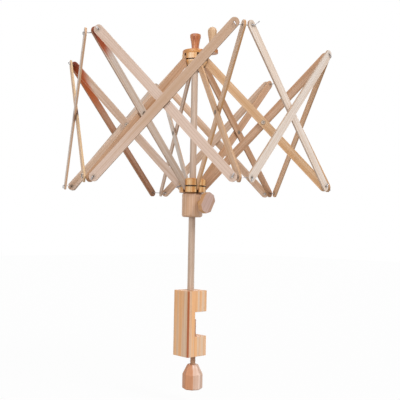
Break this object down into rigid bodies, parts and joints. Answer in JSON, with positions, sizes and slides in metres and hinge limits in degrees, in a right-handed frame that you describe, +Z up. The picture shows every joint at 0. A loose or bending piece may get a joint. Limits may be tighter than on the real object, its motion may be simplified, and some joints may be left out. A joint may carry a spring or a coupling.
{
  "type": "umbrella swift",
  "caption": "Folding wooden umbrella swift with riveted slat ribs, wire ties, sliding lower hub, crank top and table clamp",
  "frame": {"origin": "where the post axis meets the table top, on the underside of the upper jaw", "axes": "+Z up along the post, +X towards the mouth of the clamp jaw, +Y to its left"},
  "size_m": [0.4864, 0.4574, 0.646],
  "materials": {
    "slat_birch": "satin",
    "varnished_birch": "varnished",
    "block_beech": "satin",
    "steel_wire": "bright"
  },
  "bodies": {
    "stand": {"clamp_block": "block_beech", "post": "slat_birch", "hub_stop_pin": "steel_wire"},
    "clamp_screw": {"clamp_screw": "block_beech"},
    "clamp_knob": {"clamp_knob": "block_beech"},
    "upper_hub": {"upper_hub": "varnished_birch", "upper_hub_wire": "steel_wire", "crank_plate": "varnished_birch", "centre_knob": "varnished_birch", "handle_stem": "steel_wire"},
    "handle": {"handle_knob": "slat_birch"},
    "lower_hub": {"lower_hub": "varnished_birch", "lower_hub_wire": "steel_wire"},
    "locking_collar": {"locking_collar": "slat_birch"},
    "thumbscrew": {"thumbscrew": "slat_birch"},
    "thumbscrew_head": {"thumbscrew_head": "slat_birch"},
    "upper_rib_1": {"upper_rib_1": "slat_birch", "rib_rivet_1": "steel_wire"},
    "lower_rib_1": {"lower_rib_1": "slat_birch"},
    "top_tie_1": {"top_tie_1": "steel_wire"},
    "bottom_tie_1": {"bottom_tie_1": "steel_wire"},
    "falling_slat_1": {"falling_slat_1": "slat_birch"},
    "rising_slat_1": {"rising_slat_1": "slat_birch"},
    "upper_rib_2": {"upper_rib_2": "slat_birch", "rib_rivet_2": "steel_wire"},
    "lower_rib_2": {"lower_rib_2": "slat_birch"},
    "top_tie_2": {"top_tie_2": "steel_wire"},
    "bottom_tie_2": {"bottom_tie_2": "steel_wire"},
    "falling_slat_2": {"falling_slat_2": "slat_birch"},
    "rising_slat_2": {"rising_slat_2": "slat_birch"},
    "upper_rib_3": {"upper_rib_3": "slat_birch", "rib_rivet_3": "steel_wire"},
    "lower_rib_3": {"lower_rib_3": "slat_birch"},
    "top_tie_3": {"top_tie_3": "steel_wire"},
    "bottom_tie_3": {"bottom_tie_3": "steel_wire"},
    "falling_slat_3": {"falling_slat_3": "slat_birch"},
    "rising_slat_3": {"rising_slat_3": "slat_birch"},
    "upper_rib_4": {"upper_rib_4": "slat_birch", "rib_rivet_4": "steel_wire"},
    "lower_rib_4": {"lower_rib_4": "slat_birch"},
    "top_tie_4": {"top_tie_4": "steel_wire"},
    "bottom_tie_4": {"bottom_tie_4": "steel_wire"},
    "falling_slat_4": {"falling_slat_4": "slat_birch"},
    "rising_slat_4": {"rising_slat_4": "slat_birch"},
    "upper_rib_5": {"upper_rib_5": "slat_birch", "rib_rivet_5": "steel_wire"},
    "lower_rib_5": {"lower_rib_5": "slat_birch"},
    "top_tie_5": {"top_tie_5": "steel_wire"},
    "bottom_tie_5": {"bottom_tie_5": "steel_wire"},
    "falling_slat_5": {"falling_slat_5": "slat_birch"},
    "rising_slat_5": {"rising_slat_5": "slat_birch"},
    "upper_rib_6": {"upper_rib_6": "slat_birch", "rib_rivet_6": "steel_wire"},
    "lower_rib_6": {"lower_rib_6": "slat_birch"},
    "top_tie_6": {"top_tie_6": "steel_wire"},
    "bottom_tie_6": {"bottom_tie_6": "steel_wire"},
    "falling_slat_6": {"falling_slat_6": "slat_birch"},
    "rising_slat_6": {"rising_slat_6": "slat_birch"}
  },
  "joints": [
    {"name": "umbrella_spin", "type": "hinge", "parent": "stand", "child": "upper_hub", "pos_m": [0, 0, 0.4485], "axis": [0, 0, 1], "continuous": true},
    {"name": "handle_spin", "type": "hinge", "parent": "upper_hub", "child": "handle", "pos_m": [0.01342, -0.03015, 0.48], "axis": [0, 0, 1], "continuous": true},
    {"name": "umbrella_fold", "type": "hinge", "parent": "upper_hub", "child": "upper_rib_1", "pos_m": [0.02008, 0.0003, 0.4485], "axis": [-0.1045, 0.9945, 0], "range_deg": [-30, 33]},
    {"name": "rib_1_rivet_turn", "type": "hinge", "parent": "upper_rib_1", "child": "lower_rib_1", "pos_m": [0.12502, 0.01314, 0.33514], "axis": [-0.1045, 0.9945, 0], "range_deg": [-66, 60]},
    {"name": "top_tie_1_turn", "type": "hinge", "parent": "lower_rib_1", "child": "top_tie_1", "pos_m": [0.22996, 0.02598, 0.4485], "axis": [-0.1045, 0.9945, 0], "range_deg": [-30, 33]},
    {"name": "bottom_tie_1_turn", "type": "hinge", "parent": "upper_rib_1", "child": "bottom_tie_1", "pos_m": [0.23034, 0.0224, 0.22178], "axis": [-0.1045, 0.9945, 0], "range_deg": [-33, 30]},
    {"name": "falling_slat_1_turn", "type": "hinge", "parent": "top_tie_1", "child": "falling_slat_1", "pos_m": [0.23145, 0.0375, 0.4485], "axis": [0.809, 0.5878, 0], "range_deg": [-33, 30]},
    {"name": "rising_slat_1_turn", "type": "hinge", "parent": "top_tie_2", "child": "rising_slat_1", "pos_m": [0.11042, 0.21089, 0.4485], "axis": [0.809, 0.5878, 0], "range_deg": [-30, 33]},
    {"name": "lower_hub_turn", "type": "hinge", "parent": "lower_rib_1", "child": "lower_hub", "pos_m": [0.0197, 0.00388, 0.22178], "axis": [-0.1045, 0.9945, 0], "range_deg": [-30, 33]},
    {"name": "upper_rib_2_fold", "type": "hinge", "parent": "upper_hub", "child": "upper_rib_2", "pos_m": [0.00978, 0.01754, 0.4485], "axis": [-0.9135, 0.4067, 0], "range_deg": [-30, 33]},
    {"name": "rib_2_rivet_turn", "type": "hinge", "parent": "upper_rib_2", "child": "lower_rib_2", "pos_m": [0.05113, 0.11484, 0.33514], "axis": [-0.9135, 0.4067, 0], "range_deg": [-66, 60]},
    {"name": "top_tie_2_turn", "type": "hinge", "parent": "lower_rib_2", "child": "top_tie_2", "pos_m": [0.09248, 0.21214, 0.4485], "axis": [-0.9135, 0.4067, 0], "range_deg": [-30, 33]},
    {"name": "bottom_tie_2_turn", "type": "hinge", "parent": "upper_rib_2", "child": "bottom_tie_2", "pos_m": [0.09577, 0.21068, 0.22178], "axis": [-0.9135, 0.4067, 0], "range_deg": [-33, 30]},
    {"name": "falling_slat_2_turn", "type": "hinge", "parent": "top_tie_2", "child": "falling_slat_2", "pos_m": [0.08325, 0.21919, 0.4485], "axis": [-0.1045, 0.9945, 0], "range_deg": [-33, 30]},
    {"name": "rising_slat_2_turn", "type": "hinge", "parent": "top_tie_3", "child": "rising_slat_2", "pos_m": [-0.12743, 0.20107, 0.4485], "axis": [-0.1045, 0.9945, 0], "range_deg": [-30, 33]},
    {"name": "upper_rib_3_fold", "type": "hinge", "parent": "upper_hub", "child": "upper_rib_3", "pos_m": [-0.0103, 0.01724, 0.4485], "axis": [-0.809, -0.5878, 0], "range_deg": [-30, 33]},
    {"name": "rib_3_rivet_turn", "type": "hinge", "parent": "upper_rib_3", "child": "lower_rib_3", "pos_m": [-0.07389, 0.1017, 0.33514], "axis": [-0.809, -0.5878, 0], "range_deg": [-66, 60]},
    {"name": "top_tie_3_turn", "type": "hinge", "parent": "lower_rib_3", "child": "top_tie_3", "pos_m": [-0.13748, 0.18616, 0.4485], "axis": [-0.809, -0.5878, 0], "range_deg": [-30, 33]},
    {"name": "bottom_tie_3_turn", "type": "hinge", "parent": "upper_rib_3", "child": "bottom_tie_3", "pos_m": [-0.13457, 0.18828, 0.22178], "axis": [-0.809, -0.5878, 0], "range_deg": [-33, 30]},
    {"name": "falling_slat_3_turn", "type": "hinge", "parent": "top_tie_3", "child": "falling_slat_3", "pos_m": [-0.1482, 0.1817, 0.4485], "axis": [-0.9135, 0.4067, 0], "range_deg": [-33, 30]},
    {"name": "rising_slat_3_turn", "type": "hinge", "parent": "top_tie_4", "child": "rising_slat_3", "pos_m": [-0.23784, -0.00982, 0.4485], "axis": [-0.9135, 0.4067, 0], "range_deg": [-30, 33]},
    {"name": "upper_rib_4_fold", "type": "hinge", "parent": "upper_hub", "child": "upper_rib_4", "pos_m": [-0.02008, -0.0003, 0.4485], "axis": [0.1045, -0.9945, 0], "range_deg": [-30, 33]},
    {"name": "rib_4_rivet_turn", "type": "hinge", "parent": "upper_rib_4", "child": "lower_rib_4", "pos_m": [-0.12502, -0.01314, 0.33514], "axis": [0.1045, -0.9945, 0], "range_deg": [-66, 60]},
    {"name": "top_tie_4_turn", "type": "hinge", "parent": "lower_rib_4", "child": "top_tie_4", "pos_m": [-0.22996, -0.02598, 0.4485], "axis": [0.1045, -0.9945, 0], "range_deg": [-30, 33]},
    {"name": "bottom_tie_4_turn", "type": "hinge", "parent": "upper_rib_4", "child": "bottom_tie_4", "pos_m": [-0.23034, -0.0224, 0.22178], "axis": [0.1045, -0.9945, 0], "range_deg": [-33, 30]},
    {"name": "falling_slat_4_turn", "type": "hinge", "parent": "top_tie_4", "child": "falling_slat_4", "pos_m": [-0.23145, -0.0375, 0.4485], "axis": [-0.809, -0.5878, 0], "range_deg": [-33, 30]},
    {"name": "rising_slat_4_turn", "type": "hinge", "parent": "top_tie_5", "child": "rising_slat_4", "pos_m": [-0.11042, -0.21089, 0.4485], "axis": [-0.809, -0.5878, 0], "range_deg": [-30, 33]},
    {"name": "upper_rib_5_fold", "type": "hinge", "parent": "upper_hub", "child": "upper_rib_5", "pos_m": [-0.00978, -0.01754, 0.4485], "axis": [0.9135, -0.4067, 0], "range_deg": [-30, 33]},
    {"name": "rib_5_rivet_turn", "type": "hinge", "parent": "upper_rib_5", "child": "lower_rib_5", "pos_m": [-0.05113, -0.11484, 0.33514], "axis": [0.9135, -0.4067, 0], "range_deg": [-66, 60]},
    {"name": "top_tie_5_turn", "type": "hinge", "parent": "lower_rib_5", "child": "top_tie_5", "pos_m": [-0.09248, -0.21214, 0.4485], "axis": [0.9135, -0.4067, 0], "range_deg": [-30, 33]},
    {"name": "bottom_tie_5_turn", "type": "hinge", "parent": "upper_rib_5", "child": "bottom_tie_5", "pos_m": [-0.09577, -0.21068, 0.22178], "axis": [0.9135, -0.4067, 0], "range_deg": [-33, 30]},
    {"name": "falling_slat_5_turn", "type": "hinge", "parent": "top_tie_5", "child": "falling_slat_5", "pos_m": [-0.08325, -0.21919, 0.4485], "axis": [0.1045, -0.9945, 0], "range_deg": [-33, 30]},
    {"name": "rising_slat_5_turn", "type": "hinge", "parent": "top_tie_6", "child": "rising_slat_5", "pos_m": [0.12743, -0.20107, 0.4485], "axis": [0.1045, -0.9945, 0], "range_deg": [-30, 33]},
    {"name": "upper_rib_6_fold", "type": "hinge", "parent": "upper_hub", "child": "upper_rib_6", "pos_m": [0.0103, -0.01724, 0.4485], "axis": [0.809, 0.5878, 0], "range_deg": [-30, 33]},
    {"name": "rib_6_rivet_turn", "type": "hinge", "parent": "upper_rib_6", "child": "lower_rib_6", "pos_m": [0.07389, -0.1017, 0.33514], "axis": [0.809, 0.5878, 0], "range_deg": [-66, 60]},
    {"name": "top_tie_6_turn", "type": "hinge", "parent": "lower_rib_6", "child": "top_tie_6", "pos_m": [0.13748, -0.18616, 0.4485], "axis": [0.809, 0.5878, 0], "range_deg": [-30, 33]},
    {"name": "bottom_tie_6_turn", "type": "hinge", "parent": "upper_rib_6", "child": "bottom_tie_6", "pos_m": [0.13457, -0.18828, 0.22178], "axis": [0.809, 0.5878, 0], "range_deg": [-33, 30]},
    {"name": "falling_slat_6_turn", "type": "hinge", "parent": "top_tie_6", "child": "falling_slat_6", "pos_m": [0.1482, -0.1817, 0.4485], "axis": [0.9135, -0.4067, 0], "range_deg": [-33, 30]},
    {"name": "rising_slat_6_turn", "type": "hinge", "parent": "top_tie_1", "child": "rising_slat_6", "pos_m": [0.23784, 0.00982, 0.4485], "axis": [0.9135, -0.4067, 0], "range_deg": [-30, 33]},
    {"name": "collar_turn", "type": "hinge", "parent": "lower_hub", "child": "locking_collar", "pos_m": [0, 0, 0.22178], "axis": [0, 0, 1], "continuous": true},
    {"name": "clamp_screw_feed", "type": "slide", "parent": "stand", "child": "clamp_screw", "axis": [0, 0, 1], "range_m": [-0.0252, 0.0127]},
    {"name": "clamp_knob_turn", "type": "hinge", "parent": "clamp_screw", "child": "clamp_knob", "pos_m": [0.00825, 0, -0.0945], "axis": [0, 0, 1], "range_deg": [-1800, 900]},
    {"name": "thumbscrew_feed", "type": "slide", "parent": "locking_collar", "child": "thumbscrew", "axis": [0, -1, 0], "range_m": [-0.0002, 0.0052]},
    {"name": "thumbscrew_turn", "type": "hinge", "parent": "thumbscrew", "child": "thumbscrew_head", "pos_m": [0, -0.0325, 0.19188], "axis": [0, -1, 0], "range_deg": [0, 360]}
  ],
  "couplings": [
    {"joint": "rib_1_rivet_turn", "follows": "umbrella_fold", "ratio": -2},
    {"joint": "top_tie_1_turn", "follows": "umbrella_fold", "ratio": 1},
    {"joint": "bottom_tie_1_turn", "follows": "umbrella_fold", "ratio": -1},
    {"joint": "falling_slat_1_turn", "follows": "umbrella_fold", "ratio": -1},
    {"joint": "rising_slat_1_turn", "follows": "umbrella_fold", "ratio": 1},
    {"joint": "lower_hub_turn", "follows": "umbrella_fold", "ratio": 1},
    {"joint": "upper_rib_2_fold", "follows": "umbrella_fold", "ratio": 1},
    {"joint": "rib_2_rivet_turn", "follows": "umbrella_fold", "ratio": -2},
    {"joint": "top_tie_2_turn", "follows": "umbrella_fold", "ratio": 1},
    {"joint": "bottom_tie_2_turn", "follows": "umbrella_fold", "ratio": -1},
    {"joint": "falling_slat_2_turn", "follows": "umbrella_fold", "ratio": -1},
    {"joint": "rising_slat_2_turn", "follows": "umbrella_fold", "ratio": 1},
    {"joint": "upper_rib_3_fold", "follows": "umbrella_fold", "ratio": 1},
    {"joint": "rib_3_rivet_turn", "follows": "umbrella_fold", "ratio": -2},
    {"joint": "top_tie_3_turn", "follows": "umbrella_fold", "ratio": 1},
    {"joint": "bottom_tie_3_turn", "follows": "umbrella_fold", "ratio": -1},
    {"joint": "falling_slat_3_turn", "follows": "umbrella_fold", "ratio": -1},
    {"joint": "rising_slat_3_turn", "follows": "umbrella_fold", "ratio": 1},
    {"joint": "upper_rib_4_fold", "follows": "umbrella_fold", "ratio": 1},
    {"joint": "rib_4_rivet_turn", "follows": "umbrella_fold", "ratio": -2},
    {"joint": "top_tie_4_turn", "follows": "umbrella_fold", "ratio": 1},
    {"joint": "bottom_tie_4_turn", "follows": "umbrella_fold", "ratio": -1},
    {"joint": "falling_slat_4_turn", "follows": "umbrella_fold", "ratio": -1},
    {"joint": "rising_slat_4_turn", "follows": "umbrella_fold", "ratio": 1},
    {"joint": "upper_rib_5_fold", "follows": "umbrella_fold", "ratio": 1},
    {"joint": "rib_5_rivet_turn", "follows": "umbrella_fold", "ratio": -2},
    {"joint": "top_tie_5_turn", "follows": "umbrella_fold", "ratio": 1},
    {"joint": "bottom_tie_5_turn", "follows": "umbrella_fold", "ratio": -1},
    {"joint": "falling_slat_5_turn", "follows": "umbrella_fold", "ratio": -1},
    {"joint": "rising_slat_5_turn", "follows": "umbrella_fold", "ratio": 1},
    {"joint": "upper_rib_6_fold", "follows": "umbrella_fold", "ratio": 1},
    {"joint": "rib_6_rivet_turn", "follows": "umbrella_fold", "ratio": -2},
    {"joint": "top_tie_6_turn", "follows": "umbrella_fold", "ratio": 1},
    {"joint": "bottom_tie_6_turn", "follows": "umbrella_fold", "ratio": -1},
    {"joint": "falling_slat_6_turn", "follows": "umbrella_fold", "ratio": -1},
    {"joint": "rising_slat_6_turn", "follows": "umbrella_fold", "ratio": 1},
    {"joint": "collar_turn", "follows": "umbrella_spin", "ratio": -1},
    {"joint": "clamp_screw_feed", "follows": "clamp_knob_turn", "m_per_rad": 0.00079577},
    {"joint": "thumbscrew_feed", "follows": "thumbscrew_turn", "m_per_rad": 0.00079577}
  ]
}
